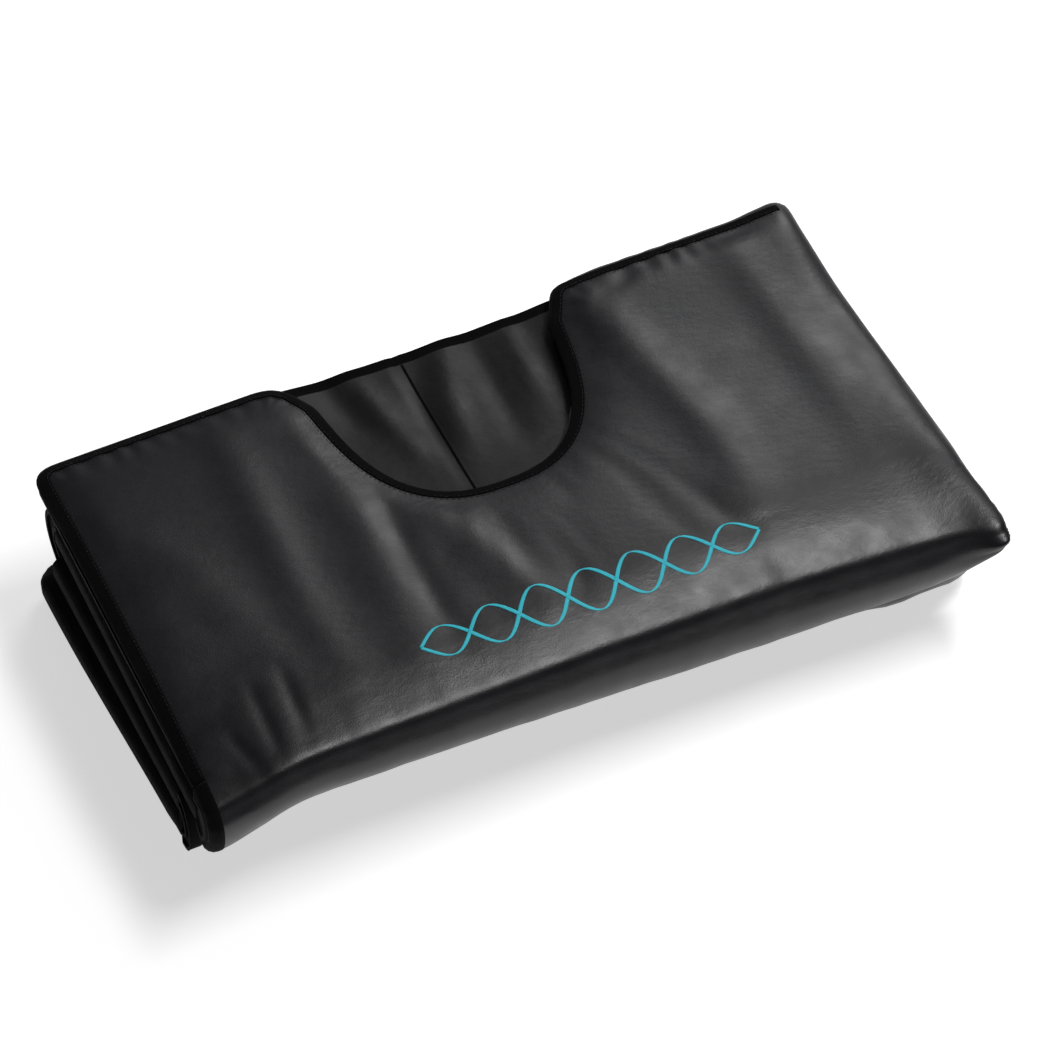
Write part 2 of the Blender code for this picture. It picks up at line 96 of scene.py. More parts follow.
# Soft folds of the top: a path in plan, about half their width, and their height (less than 0: a valley)
CREASES = [
    ([(-0.258, 0.270), (-0.262, 0.101), (-0.269, -0.030), (-0.265, -0.185)], 0.025, 0.0032),
    ([(-0.163, 0.270), (-0.171, 0.088), (-0.180, -0.042), (-0.188, -0.190)], 0.027, 0.0029),
    ([(-0.141, 0.090), (-0.147, -0.043), (-0.147, -0.160)], 0.015, -0.0022),
    ([(-0.118, 0.085), (-0.099, 0.024), (-0.070, -0.065), (-0.036, -0.180)], 0.025, 0.0030),
    ([(0.165, 0.250), (0.200, 0.070), (0.214, -0.030), (0.208, -0.150)], 0.028, 0.0042),
    ([(0.344, 0.290), (0.355, 0.144), (0.359, 0.044), (0.364, -0.130)], 0.031, 0.0044),
    ([(-0.425, 0.160), (-0.358, 0.041), (-0.329, -0.074), (-0.304, -0.190)], 0.028, 0.0018),
    ([(-0.361, -0.118), (-0.364, -0.214)], 0.0080, -0.0017),
    ([(-0.325, -0.112), (-0.331, -0.202)], 0.0085, -0.0018),
    ([(-0.404, -0.160), (-0.386, -0.228)], 0.0075, -0.0013),
    ([(-0.052, -0.020), (-0.030, -0.130)], 0.016, -0.0012),
]

# The same for the lining seen through the cut-out
LINING_FOLDS = [
    ([(0.019, 0.262), (-0.010, 0.162), (-0.017, 0.080)], 0.013, 0.0034),
    ([(0.047, 0.262), (0.041, 0.155), (0.038, 0.075)], 0.014, -0.0032),
    ([(0.089, 0.260), (0.083, 0.164), (0.078, 0.100)], 0.013, 0.0030),
    ([(-0.018, 0.262), (-0.039, 0.175), (-0.048, 0.100)], 0.012, -0.0026),
    ([(-0.098, 0.260), (-0.083, 0.165), (-0.068, 0.090)], 0.014, 0.0034),
    ([(-0.126, 0.250), (-0.111, 0.159)], 0.012, -0.0024),
]


# ---------------- small helpers
def step(a, b, x):
    """0 where x is short of a, 1 past b, and a smooth rise between them; a may be the larger."""
    t = np.clip((np.asarray(x, float) - a) / (b - a), 0, 1)
    return t * t * (3 - 2 * t)


def add_object(name, data):
    thing = bpy.data.objects.new(name, data)
    bpy.context.scene.collection.objects.link(thing)
    return thing


def new_object(name, verts, faces, smooth=True):
    mesh = bpy.data.meshes.new(name)
    mesh.from_pydata([tuple(v) for v in verts], [], [tuple(f) for f in faces])
    mesh.update()
    if smooth:
        mesh.shade_smooth()
    return add_object(name, mesh)


def coords(mesh):
    co = np.empty(len(mesh.vertices) * 3)
    mesh.vertices.foreach_get("co", co)
    return co.reshape(-1, 3)


def set_coords(mesh, co):
    mesh.vertices.foreach_set("co", np.ascontiguousarray(co, float).ravel())
    mesh.update()


def normals(mesh):
    no = np.empty(len(mesh.vertices) * 3)
    mesh.vertex_normals.foreach_get("vector", no)
    return no.reshape(-1, 3)


def apply_modifiers(thing):
    """Replaces the object's mesh by what its modifiers make of it, and takes them off."""
    graph = bpy.context.evaluated_depsgraph_get()
    mesh = bpy.data.meshes.new_from_object(thing.evaluated_get(graph))
    thing.modifiers.clear()
    thing.data = mesh


def weigh(thing, name, weights, levels):
    """A vertex group with the given weights, rounded to so many levels."""
    group = thing.vertex_groups.new(name=name)
    rounded = np.round(weights * levels).astype(int)
    for level in range(1, levels + 1):
        chosen = np.nonzero(rounded == level)[0]
        if len(chosen):
            group.add(chosen.tolist(), level / levels, "REPLACE")


def tangents(path):
    """Unit tangent at each point of a plan path."""
    tangent = np.gradient(path, axis=0)
    return tangent / np.linalg.norm(tangent, axis=1, keepdims=True)


def noise_at(co, scale, seed, stretch=(1.0, 1.0, 1.0), turn=0.0):
    """Smooth noise at each point, about -1 to 1; turn rotates the pattern in plan, in degrees."""
    c, s = math.cos(math.radians(turn)), math.sin(math.radians(turn))
    u = (co[:, 0] * c + co[:, 1] * s) * scale * stretch[0] + seed * 7.31
    v = (-co[:, 0] * s + co[:, 1] * c) * scale * stretch[1] + seed * 3.17
    w = co[:, 2] * scale * stretch[2]
    return np.array([noise.noise(Vector(p)) for p in zip(u, v, w)])


def path_distance(co, path):
    """Distance in plan from each point to a polyline, and how far along it, from 0 to 1."""
    p = np.asarray(path, float)
    best = np.full(len(co), 1e9)
    along = np.zeros(len(co))
    lengths = np.linalg.norm(np.diff(p, axis=0), axis=1)
    total, run = lengths.sum(), 0.0
    for a, b, length in zip(p[:-1], p[1:], lengths):
        d = b - a
        t = np.clip(((co[:, :2] - a) @ d) / max(length * length, 1e-12), 0, 1)
        gap = np.linalg.norm(co[:, :2] - (a + t[:, None] * d), axis=1)
        near = gap < best
        best[near] = gap[near]
        along[near] = (run + t[near] * length) / total
        run += length
    return best, along


def crease(co, path, width, height):
    """A soft ridge (or a valley, if height is negative) along a path on the top."""
    gap, along = path_distance(co, path)
    ends = np.sin(np.pi * np.clip(along, 0.02, 0.98)) ** 0.6
    return height * np.exp(-((gap / width) ** 2)) * ends


# ---------------- outlines
def neck_path(count=48):
    """Free edge of the cut-out, from its right end at the hem round to its left end."""
    points = []
    for i in range(count + 1):
        turn = math.pi * i / count
        depth = NECK_DEPTH * math.sin(turn) ** (2 / NECK_SHAPE) if 0 < i < count else 0.0
        across = abs(math.cos(turn)) ** (2 / NECK_SHAPE)
        side = 1 if math.cos(turn) > 0 else -1
        flare = NECK_FLARE * math.exp(-depth / NECK_FLARE_LENGTH)
        points.append((X_MIDDLE + side * (NECK_HALF * across + flare), Y_HEM - depth))
    return points


def resample(points, spacing):
    """The polyline's points at an even spacing."""
    p = np.asarray(points, float)
    lengths = np.r_[0, np.cumsum(np.linalg.norm(np.diff(p, axis=0), axis=1))]
    count = max(2, int(round(lengths[-1] / spacing)) + 1)
    at = np.linspace(0, lengths[-1], count)
    return np.stack([np.interp(at, lengths, p[:, k]) for k in range(p.shape[1])], 1)


def round_corner(corner, before, after, radius, count=6):
    """Points that round a corner of an outline."""
    c, a, b = Vector(corner), Vector(before), Vector(after)
    start = c + (a - c).normalized() * radius
    end = c + (b - c).normalized() * radius
    points = []
    for i in range(count + 1):
        t = i / count
        points.append(tuple(start * (1 - t) ** 2 + c * 2 * t * (1 - t) + end * t * t))
    return points


def free_edge():
    """The upper leaf's free edge in plan: right end of the hem, neck, hem, corner, left side."""
    neck = neck_path()
    right = round_corner(neck[0], (X_RIGHT, Y_HEM), neck[2], 0.014)
    left = round_corner(neck[-1], neck[-3], (X_LEFT, Y_HEM), CORNER_ROUND)
    corner = round_corner((X_LEFT, Y_HEM), (0, Y_HEM), (X_LEFT, 0), CORNER_ROUND, 8)
    points = [(X_RIGHT - 0.006, Y_HEM)] + right + neck[2:-2] + left + corner
    return points + [(X_LEFT, Y_HEAD + 0.0012)]


# ---------------- materials
def put(node, **values):
    """Sets a node's sockets; a socket's name is written with _ for each space."""
    for name, value in values.items():
        node.inputs[name.replace("_", " ")].default_value = value


def make_material(name, colour, second, roughness, spread, specular=0.5, metallic=0.0, sheen=0.0):
    """A Principled material whose colour and roughness vary softly over the surface."""
    material = bpy.data.materials.new(name)
    material.use_nodes = True
    tree = material.node_tree
    shader = tree.nodes["Principled BSDF"]
    put(shader, Metallic=metallic, Specular_IOR_Level=specular, Sheen_Weight=sheen, Sheen_Roughness=0.45)
    where = tree.nodes.new("ShaderNodeTexCoord")
    patches = add_noise(tree, where, 9.0, 4)
    mix = tree.nodes.new("ShaderNodeMix")
    mix.data_type = "RGBA"
    mix.inputs[6].default_value = (*colour, 1)
    mix.inputs[7].default_value = (*second, 1)
    tree.links.new(patches.outputs["Fac"], mix.inputs[0])
    tree.links.new(mix.outputs[2], shader.inputs["Base Color"])
    rough = add_noise(tree, where, 34.0, 5)
    spread_node = tree.nodes.new("ShaderNodeMapRange")
    put(spread_node, From_Min=0.3, From_Max=0.7, To_Min=roughness - spread, To_Max=roughness + spread)
    tree.links.new(rough.outputs["Fac"], spread_node.inputs["Value"])
    tree.links.new(spread_node.outputs["Result"], shader.inputs["Roughness"])
    return material, tree, shader, where


def add_noise(tree, where, scale, detail, stretch=None, turn=0.0, distortion=0.0):
    """A noise texture on the object's own coordinates."""
    texture = tree.nodes.new("ShaderNodeTexNoise")
    put(texture, Scale=scale, Detail=detail, Distortion=distortion)
    source = where.outputs["Object"]
    if stretch:
        mapping = tree.nodes.new("ShaderNodeMapping")
        put(mapping, Scale=stretch, Rotation=(0, 0, turn))
        tree.links.new(source, mapping.inputs["Vector"])
        source = mapping.outputs["Vector"]
    tree.links.new(source, texture.inputs["Vector"])
    return texture


def add_bump(tree, shader, height, strength, distance):
    """One more bump under the shader's normal."""
    bump = tree.nodes.new("ShaderNodeBump")
    put(bump, Strength=strength, Distance=distance)
    tree.links.new(height, bump.inputs["Height"])
    if shader.inputs["Normal"].is_linked:
        tree.links.new(shader.inputs["Normal"].links[0].from_socket, bump.inputs["Normal"])
    tree.links.new(bump.outputs["Normal"], shader.inputs["Normal"])


def leather(name, colour, second, roughness, wrinkle, grain_scale=620.0, specular=0.5):
    """Coated cloth: fine pebbled grain over soft handling wrinkles."""
    material, tree, shader, where = make_material(name, colour, second, roughness, 0.05, specular)
    soft = add_noise(tree, where, 16.0, 4, (1.0, 1.9, 1.0), 0.6, 0.4)
    add_bump(tree, shader, soft.outputs["Fac"], wrinkle, 0.008)
    fine = add_noise(tree, where, 95.0, 3, (1.0, 1.6, 1.0), 0.5)
    add_bump(tree, shader, fine.outputs["Fac"], 0.20, 0.0012)
    grain = tree.nodes.new("ShaderNodeTexVoronoi")
    put(grain, Scale=grain_scale)
    tree.links.new(where.outputs["Object"], grain.inputs["Vector"])
    add_bump(tree, shader, grain.outputs["Distance"], 0.16, 0.0004)
    return material


def woven(name, colour, second, roughness, thread, strength, specular=0.3, sheen=0.15):
    """A tape or cloth: crossed threads of the given width."""
    material, tree, shader, where = make_material(name, colour, second, roughness, 0.05, specular, 0.0, sheen)
    waves = []
    for turn in (math.radians(45), math.radians(-45)):
        mapping = tree.nodes.new("ShaderNodeMapping")
        put(mapping, Rotation=(turn * 0.6, turn * 0.8, turn))
        wave = tree.nodes.new("ShaderNodeTexWave")
        put(wave, Scale=0.31 / thread, Distortion=0.6, Detail=1.0)
        tree.links.new(where.outputs["Object"], mapping.inputs["Vector"])
        tree.links.new(mapping.outputs["Vector"], wave.inputs["Vector"])
        waves.append(wave)
    both = tree.nodes.new("ShaderNodeMath")
    both.operation = "MAXIMUM"
    tree.links.new(waves[0].outputs["Fac"], both.inputs[0])
    tree.links.new(waves[1].outputs["Fac"], both.inputs[1])
    add_bump(tree, shader, both.outputs["Value"], strength, thread * 0.5)
    return material


def moulded(name, colour, second, roughness, metallic=0.0):
    """Moulded plastic or turned metal with a faint surface texture."""
    material, tree, shader, where = make_material(name, colour, second, roughness, 0.06, 0.5, metallic)
    spark = add_noise(tree, where, 900.0, 2)
    add_bump(tree, shader, spark.outputs["Fac"], 0.12, 0.0003)
    return material


SHELL = leather("shell", (0.0060, 0.0059, 0.0074), (0.0084, 0.0082, 0.0104), 0.38, 0.05)
LINING = leather("lining", (0.0042, 0.0042, 0.0048), (0.0062, 0.0062, 0.0072), 0.43, 0.12, 900.0, 0.30)
TAPE_CLOTH = woven("tape", (0.0016, 0.0016, 0.0018), (0.0030, 0.0030, 0.0033), 0.85, 0.0011, 0.55, 0.07, 0.01)
LOOP = woven("loop", (0.0120, 0.0120, 0.0130), (0.0200, 0.0200, 0.0210), 0.90, 0.0008, 0.8, 0.2, 0.4)
HOOK = woven("hook", (0.0100, 0.0100, 0.0110), (0.0160, 0.0160, 0.0170), 0.55, 0.0016, 0.9, 0.4, 0.0)
THREAD = woven("thread", (0.006, 0.006, 0.0065), (0.010, 0.010, 0.011), 0.60, 0.0004, 0.5, 0.2)
MOTIF = woven("motif", (0.018, 0.50, 0.62), (0.030, 0.62, 0.74), 0.46, 0.0006, 0.35, 0.4, 0.1)
PLASTIC = moulded("plastic", (0.016, 0.016, 0.018), (0.024, 0.024, 0.026), 0.45)
CONTACT = moulded("contact", (0.80, 0.60, 0.26), (0.86, 0.68, 0.34), 0.26, 1.0)
WADDING = woven("insulation", (0.60, 0.60, 0.58), (0.72, 0.72, 0.70), 0.95, 0.0020, 0.6)


def dress(thing, *materials):
    """Gives the object these materials only."""
    thing.data.materials.clear()
    for material in materials:
        thing.data.materials.append(material)
    return thing


# ---------------- cloth simulation
def inflate(thing, pinned, pressure, spare, cap, frames=20):
    """Swells a mesh as cloth with some spare width, held where pinned is 1, and caps the movement."""
    before = coords(thing.data)
    weigh(thing, "held", pinned, 10)
    modifier = thing.modifiers.new("cloth", "CLOTH")
    settings = modifier.settings
    settings.quality = 5
    settings.mass = 0.35
    settings.tension_stiffness = 22
    settings.compression_stiffness = 22
    settings.shear_stiffness = 8
    settings.bending_stiffness = 0.9
    settings.use_pressure = True
    settings.uniform_pressure_force = pressure
    settings.shrink_min = -spare
    settings.shrink_max = -spare
    settings.vertex_group_mass = "held"
    settings.effector_weights.gravity = 0.0
    modifier.collision_settings.use_collision = False
    modifier.collision_settings.use_self_collision = False
    scene = bpy.context.scene
    modifier.point_cache.frame_start = 1
    modifier.point_cache.frame_end = frames
    for number in range(1, frames + 1):
        scene.frame_set(number)
    graph = bpy.context.evaluated_depsgraph_get()
    after = coords(thing.evaluated_get(graph).data).copy()
    thing.modifiers.clear()
    thing.vertex_groups.clear()
    scene.frame_set(1)
    moved = after - before
    length = np.linalg.norm(moved, axis=1, keepdims=True)
    moved *= cap * np.tanh(length / cap) / np.maximum(length, 1e-9)
    set_coords(thing.data, before + moved)


# ---------------- head panel's upper leaf and nose
def prism(bm, outline, low, high, plan=True):
    """Adds a closed prism: plan outline between two heights, or side outline between two x."""
    rings = []
    for level in (low, high):
        rings.append([bm.verts.new((*p, level) if plan else (level, *p)) for p in outline])
    bm.faces.new(rings[0])
    bm.faces.new(rings[1][::-1])
    count = len(outline)
    for i in range(count):
        j = (i + 1) % count
        bm.faces.new((rings[0][i], rings[0][j], rings[1][j], rings[1][i]))


def build_head_skin():
    """Upper leaf and front fold as one padded body."""
    edge = [tuple(p) for p in free_edge()]
    edge_length = sum(math.dist(a, b) for a, b in zip(edge[:-1], edge[1:]))
    inset = 0.0035
    outline = [(X_RIGHT - 0.004, Y_HEAD - 0.030), (X_RIGHT - 0.004, Y_HEM - 0.010)] + edge
    outline += [(X_LEFT, Y_HEAD - 0.030)]
    bm = bmesh.new()
    prism(bm, outline, LEAF_LOW + 0.002, TOP - inset)
    nose = []
    for i in range(25):
        turn = math.radians(90 + 180 * i / 24)
        y = Y_HEAD + (FOLD_R - 0.003) * math.cos(turn)
        nose.append((y, AXIS_HEAD_Z + (FOLD_R - inset) * math.sin(turn)))
    y_wall, y_overlap, z_overlap = Y_HEAD + 0.004, Y_HEAD + 0.020, LEAF_LOW + 0.003
    nose += [(y_wall, AXIS_HEAD_Z - FOLD_R + inset), (y_wall, z_overlap)]
    nose += [(y_overlap, z_overlap), (y_overlap, TOP - inset)]
    prism(bm, nose, X_LEFT + 0.0006, X_RIGHT + 0.001, False)
    bmesh.ops.triangulate(bm, faces=bm.faces)
    bmesh.ops.recalc_face_normals(bm, faces=bm.faces)
    mesh = bpy.data.meshes.new("head_skin")
    bm.to_mesh(mesh)
    bm.free()
    skin = add_object("head_skin", mesh)
    remesh = skin.modifiers.new("remesh", "REMESH")
    remesh.mode = "VOXEL"
    remesh.voxel_size = 0.0062
    remesh.use_smooth_shade = True
    apply_modifiers(skin)

    # thinner towards the free edge
    co = coords(skin.data)
    gap, _ = path_distance(co, edge)
    middle = LEAF_LOW + LEAF / 2
    on_leaf = step(Y_HEAD - 0.01, Y_HEAD + 0.05, co[:, 1])
    thin = 0.34 + 0.66 * np.sqrt(1 - (1 - np.clip((gap - 0.004) / 0.040, 0, 1)) ** 2)
    thin = 1 + (thin - 1) * on_leaf
    co[:, 2] = middle + (co[:, 2] - middle) * np.where(co[:, 2] > LEAF_LOW - 0.02, thin, 1.0)
    # round the side fold on the right
    near = np.clip((X_RIGHT - co[:, 0]) / 0.016, 0, 1)
    rounding = np.sqrt(np.clip(1 - (1 - near) ** 2, 0, 1))
    flat = on_leaf * (co[:, 2] > LEAF_LOW)
    rounded = LEAF_LOW + (co[:, 2] - LEAF_LOW) * (1 + (rounding - 1) * flat * 0.55)
    co[:, 2] = np.where(flat > 0, rounded, co[:, 2])
    set_coords(skin.data, shape_stack(co))

    # the cloth is held along the free edge, underneath and at the fold's foot
    co = coords(skin.data)
    no = normals(skin.data)
    held = np.maximum(1 - step(0.010, 0.024, gap) * on_leaf - (1 - on_leaf), 0)
    held = np.where(no[:, 2] < 0.1, 1.0, held) * on_leaf
    held += (1 - on_leaf) * step(0.135, 0.110, co[:, 2])
    held = np.where((co[:, 1] > Y_HEAD - 0.004) & (co[:, 2] < LEAF_LOW + 0.004), 1.0, held)
    held = np.maximum(held, 0.5 * (1 - on_leaf))
    inflate(skin, np.clip(held, 0, 1), pressure=2.2, spare=0.002, cap=0.0045)
    smooth = skin.modifiers.new("smooth", "SMOOTH")
    smooth.factor = 0.5
    smooth.iterations = 9
    weigh(skin, "roll", step(Y_HEAD + 0.075, Y_HEAD + 0.030, coords(skin.data)[:, 1]), 5)
    rounder = skin.modifiers.new("rounder", "SMOOTH")
    rounder.factor = 0.5
    rounder.iterations = 14
    rounder.vertex_group = "roll"
    divide = skin.modifiers.new("divide", "SUBSURF")
    divide.levels = 1
    apply_modifiers(skin)

    # soft folds and unevenness of the finished surface
    co = coords(skin.data)
    no = normals(skin.data)
    gap, along = path_distance(co, edge)
    away = step(0.012, 0.045, gap)
    upper = step(0.2, 0.7, no[:, 2])
    lift = sum(crease(co, *c) for c in CREASES) * upper * np.maximum(away, 0.25)
    lift += 0.0012 * noise_at(co, 5.0, 1, (1.0, 0.6, 1.0), -8) * upper * away
    # short gathers where the binding is sewn on
    uneven = noise_at(co, 14.0, 2)
    gathers = np.sin(along * edge_length / 0.026 * 2 * math.pi + 4 * uneven)
    gathers *= np.clip(0.4 + 1.4 * uneven, 0, 1)
    gathers *= step(Y_HEM - 0.070, Y_HEM - 0.030, co[:, 1])
    lift += 0.0006 * gathers * upper * np.exp(-(((gap - TAPE - 0.004) / 0.018) ** 2))
    # the top stands full up to the right edge
    lift += 0.0055 * step(0.355, X_RIGHT - 0.004, co[:, 0]) * upper
    front = 1 - step(Y_HEAD - 0.002, Y_HEAD + 0.03, co[:, 1])
    sideways = noise_at(co, 10.0, 5, (2.2, 0.6, 0.6))
    sideways += 0.6 * noise_at(co, 26.0, 6, (1.8, 0.7, 0.7))
    co += no * (lift + 0.0007 * sideways * front)[:, None]
    set_coords(skin.data, co)
    return skin


def shape_stack(co):
    """How the folded stack lies: the front fold is tighter on the left, and it droops there."""
    co = co.copy()
    x, y, z = co[:, 0].copy(), co[:, 1].copy(), co[:, 2].copy()
    radius = np.interp(x, ACROSS, NOSE_RADIUS)
    centre = np.interp(x, ACROSS, NOSE_CENTRE)
    high = step(0.090, 0.170, z)
    # the front fold's half round, turned about its own centre
    turn = np.degrees(np.arctan2(Y_HEAD - y, z - AXIS_HEAD_Z))
    weight = np.where(y < Y_HEAD, 1 - step(125, 178, np.abs(turn)), 0.0)
    size = radius / FOLD_R
    new_y = centre + (y - Y_HEAD) * size
    sink = np.interp(x, ACROSS, ROLL_SINK)
    axis_z = TOP + 0.0007 - radius - sink
    taller = np.where(z > AXIS_HEAD_Z, 1 + sink / radius, 1.0)
    new_z = axis_z + (z - AXIS_HEAD_Z) * size * taller
    shifted = y + (centre - Y_HEAD) * step(Y_HEAD + 0.075, Y_HEAD, y) * high
    co[:, 1] = np.where(y < Y_HEAD, y + (new_y - y) * weight, shifted)
    co[:, 2] = z + (new_z - z) * weight
    # the top rolls over slowly before it reaches the fold
    start = np.interp(x, ACROSS, ROLL_START)
    ahead = np.clip((centre + start - co[:, 1]) / (radius + start), 0, 1)
    as_circle = np.sqrt(1 - np.clip((centre - co[:, 1]) / radius, 0, 1) ** 2)
    rise = radius + sink
    drop = rise * (as_circle - np.sqrt(1 - ahead**2))
    inside = axis_z + (LEAF_LOW - axis_z) * step(-0.6, 0.0, (co[:, 1] - centre) / radius)
    surface = axis_z + rise * as_circle
    co[:, 2] -= drop * np.clip((co[:, 2] - inside) / np.maximum(surface - inside, 1e-4), 0, 1)
    # the left end droops, the underside sags a little, and the right end comes to a soft point
    left = step(X_LEFT + 0.115, X_LEFT - 0.005, x)
    low = step(0.150, 0.105, z) * step(Y_HEAD + 0.004, Y_HEAD - 0.014, y)
    sag = np.interp(x, [-0.10, 0.0, 0.24, 0.40, X_RIGHT], [0.0, 0.003, 0.002, 0.002, 0.0])
    co[:, 2] -= low * (0.030 * left + sag)
    co[:, 2] -= left * step(-0.070, -0.235, y) * 0.019 * high
    tip = step(0.378, X_RIGHT, x) * step(Y_HEAD, Y_HEAD - 0.05, y)
    co[:, 1] -= tip * 0.014
    co[:, 2] += tip * (0.173 - co[:, 2]) * 0.60
    # the hem lies low on the left and stands proud on the right, and the right side is full
    rear = step(0.10, Y_HEM, y) * high
    places = [X_LEFT, -0.20, -0.10, 0.12, 0.20, X_RIGHT]
    co[:, 2] += rear * np.interp(x, places, [-0.009, -0.003, 0.0, 0.002, 0.009, 0.011])
    co[:, 1] += rear * np.interp(x, [0.13, 0.20], [0.0, 0.004])
    co[:, 0] += step(0.33, X_RIGHT, x) * 0.008 * step(0.10, 0.165, z)
    return co


def split_at_fold(skin):
    """Cuts the body at the fold plane into two pieces whose shading runs on across the cut.

    What lies under the leaf belongs to the fold, also where it reaches behind that plane.
    """
    z_cut = (AXIS_HEAD_Z + LEAF_LOW) / 2
    bm = bmesh.new()
    bm.from_mesh(skin.data)
    for point, across in (((0, Y_HEAD, 0), (0, 1, 0)), ((0, 0, z_cut), (0, 0, 1))):
        everything = bm.verts[:] + bm.edges[:] + bm.faces[:]
        bmesh.ops.bisect_plane(bm, geom=everything, dist=1e-5, plane_co=point, plane_no=across)
    bm.normal_update()
    layer = bm.verts.layers.float_vector.new("kept_normal")
    for vert in bm.verts:
        vert[layer] = vert.normal
    made = []
    for name, sign in (("head_upper_leaf", 1), ("front_fold", -1)):
        half = bm.copy()
        wrong = []
        for face in half.faces:
            middle = face.calc_center_median()
            on_leaf = middle.y > Y_HEAD and middle.z > z_cut
            if on_leaf != (sign > 0):
                wrong.append(face)
        bmesh.ops.delete(half, geom=wrong, context="FACES")
        mesh = bpy.data.meshes.new(name)
        half.to_mesh(mesh)
        half.free()
        mesh.shade_smooth()
        kept = np.empty(len(mesh.vertices) * 3, np.float32)
        mesh.attributes["kept_normal"].data.foreach_get("vector", kept)
        mesh.attributes.remove(mesh.attributes["kept_normal"])
        mesh.normals_split_custom_set_from_vertices(kept.reshape(-1, 3).tolist())
        made.append(add_object(name, mesh))
    bm.free()
    return made


def tree_of(*things):
    """A ray-casting tree of several objects' faces."""
    verts, faces = [], []
    for thing in things:
        offset = len(verts)
        verts += [v.co.copy() for v in thing.data.vertices]
        faces += [tuple(offset + i for i in p.vertices) for p in thing.data.polygons]
    return BVHTree.FromPolygons(verts, faces)


def hit(tree, start, direction, far):
    """Where a ray first meets the tree, or None."""
    found = tree.ray_cast(Vector(start), Vector(direction), far)
    return found[0] if found else None


# ---------------- tapes laid on a finished surface
def tube(name, verts, rings, size):
    """A tape from its rings of so many vertices each, with both ends closed."""
    faces = []
    for a, b in zip(rings[:-1], rings[1:]):
        for k in range(size):
            m = (k + 1) % size
            faces.append((a + k, b + k, b + m, a + m))
    faces.append(tuple(rings[0] + k for k in range(size))[::-1])
    faces.append(tuple(rings[-1] + k for k in range(size)))
    return dress(fix_normals(new_object(name, verts, faces)), TAPE_CLOTH)


def fill_gaps(column):
    """Replaces a column's missing measures by what its neighbours give."""
    good = ~np.isnan(column)
    column[~good] = np.interp(np.nonzero(~good)[0], np.nonzero(good)[0], column[good])


def plan_tape(name, tree, points):
    """Binding folded over a free edge that runs in plan; the leaf is on the path's left."""
    lift = 0.0007
    path = resample(points, 0.006)
    tangent = tangents(path)
    inward = np.stack([-tangent[:, 1], tangent[:, 0]], 1)
    reach = [TAPE, TAPE * 0.72, TAPE * 0.42, 0.0042]
    tops = np.full((len(path), len(reach)), np.nan)
    lows = np.full((len(path), len(reach)), np.nan)
    for i, (p, n) in enumerate(zip(path, inward)):
        for k, r in enumerate(reach):
            x, y = p + n * r
            up = hit(tree, (x, y, Z_ABOVE), (0, 0, -1), 0.08)
            down = hit(tree, (x, y, Z_UNDER_LEAF), (0, 0, 1), 0.08)
            if up:
                tops[i, k] = up.z
            if down:
                lows[i, k] = down.z
    kernel = np.array([1, 2, 3, 2, 1]) / 9
    for grid in (tops, lows):
        for k in range(len(reach)):
            fill_gaps(grid[:, k])
            grid[:, k] = np.convolve(np.pad(grid[:, k], 2, mode="edge"), kernel, "valid")
    verts, rings = [], []
    for p, n, t, b in zip(path, inward, tops, lows):
        half = max((t[3] - b[3]) / 2, 0.002)
        mid = (t[3] + b[3]) / 2
        ring = [(reach[0] + 0.0002, t[0] - 0.0004), (reach[0], t[0] + lift), (reach[1], t[1] + lift)]
        ring += [(reach[2], t[2] + lift), (reach[3] * 0.7, t[3] + lift * 0.6)]
        ring += [(0.0002, mid + half * 0.55), (-0.0010, mid), (0.0002, mid - half * 0.55)]
        ring += [(reach[3] * 0.7, b[3] - lift * 0.6), (reach[2], b[2] - lift), (reach[1], b[1] - lift)]
        ring += [(reach[0], b[0] - lift), (reach[0] + 0.0002, b[0] + 0.0004)]
        rings.append(len(verts))
        verts += [(*(p + n * r), z) for r, z in ring]
    return tube(name, verts, rings, len(ring))


def nose_tape(name, tree):
    """The side tape's way round the left end of the front fold."""
    reach = (TAPE, 0.009, 0.005, 0.0022)
    axis = np.array([Y_HEAD, AXIS_HEAD_Z])
    grid = []
    turns = np.radians(np.linspace(92, 268, 45))
    for t in turns:
        out = np.array([math.cos(t), math.sin(t)])
        row = []
        for r in reach:
            start = axis + out * 0.075
            found = hit(tree, (X_LEFT + 0.002 + r, start[0], start[1]), (0, -out[0], -out[1]), 0.12)
            row.append(np.linalg.norm([found.y - axis[0], found.z - axis[1]]) if found else np.nan)
        grid.append(row)
    grid = np.array(grid)
    for k in range(len(reach)):
        fill_gaps(grid[:, k])
    for k in (2, 3):
        grid[:, k] = np.maximum(grid[:, k], grid[:, 1] - 0.001 * k)
    lift = 0.0008
    verts, rings = [], []
    for t, row in zip(turns, grid):
        edge = row[3]
        ring = [(reach[0] + 0.0002, row[0] - 0.0006), (reach[0], row[0] + lift), (reach[1], row[1] + lift)]
        ring += [(reach[2], row[2] + lift), (0.0012, edge + lift * 0.5), (-0.0012, edge - 0.0030)]
        ring += [(-0.0008, edge - 0.0072), (0.0002, edge - 0.0084), (0.0002, edge - 0.0100)]
        ring += [(-0.0014, edge - 0.0114), (-0.0014, edge - 0.0172)]
        ring += [(0.0002, edge - 0.0186), (0.0003, edge * 0.15)]
        rings.append(len(verts))
        for x, r in ring:
            verts.append((X_LEFT + x, axis[0] + r * math.cos(t), axis[1] + r * math.sin(t)))
    return tube(name, verts, rings, len(ring))


def fix_normals(thing, weld=0.0):
    """Turns all faces outward, after joining vertices closer than weld."""
    bm = bmesh.new()
    bm.from_mesh(thing.data)
    if weld:
        bmesh.ops.remove_doubles(bm, verts=bm.verts, dist=weld)
    bmesh.ops.recalc_face_normals(bm, faces=bm.faces)
    bm.to_mesh(thing.data)
    bm.free()
    return thing


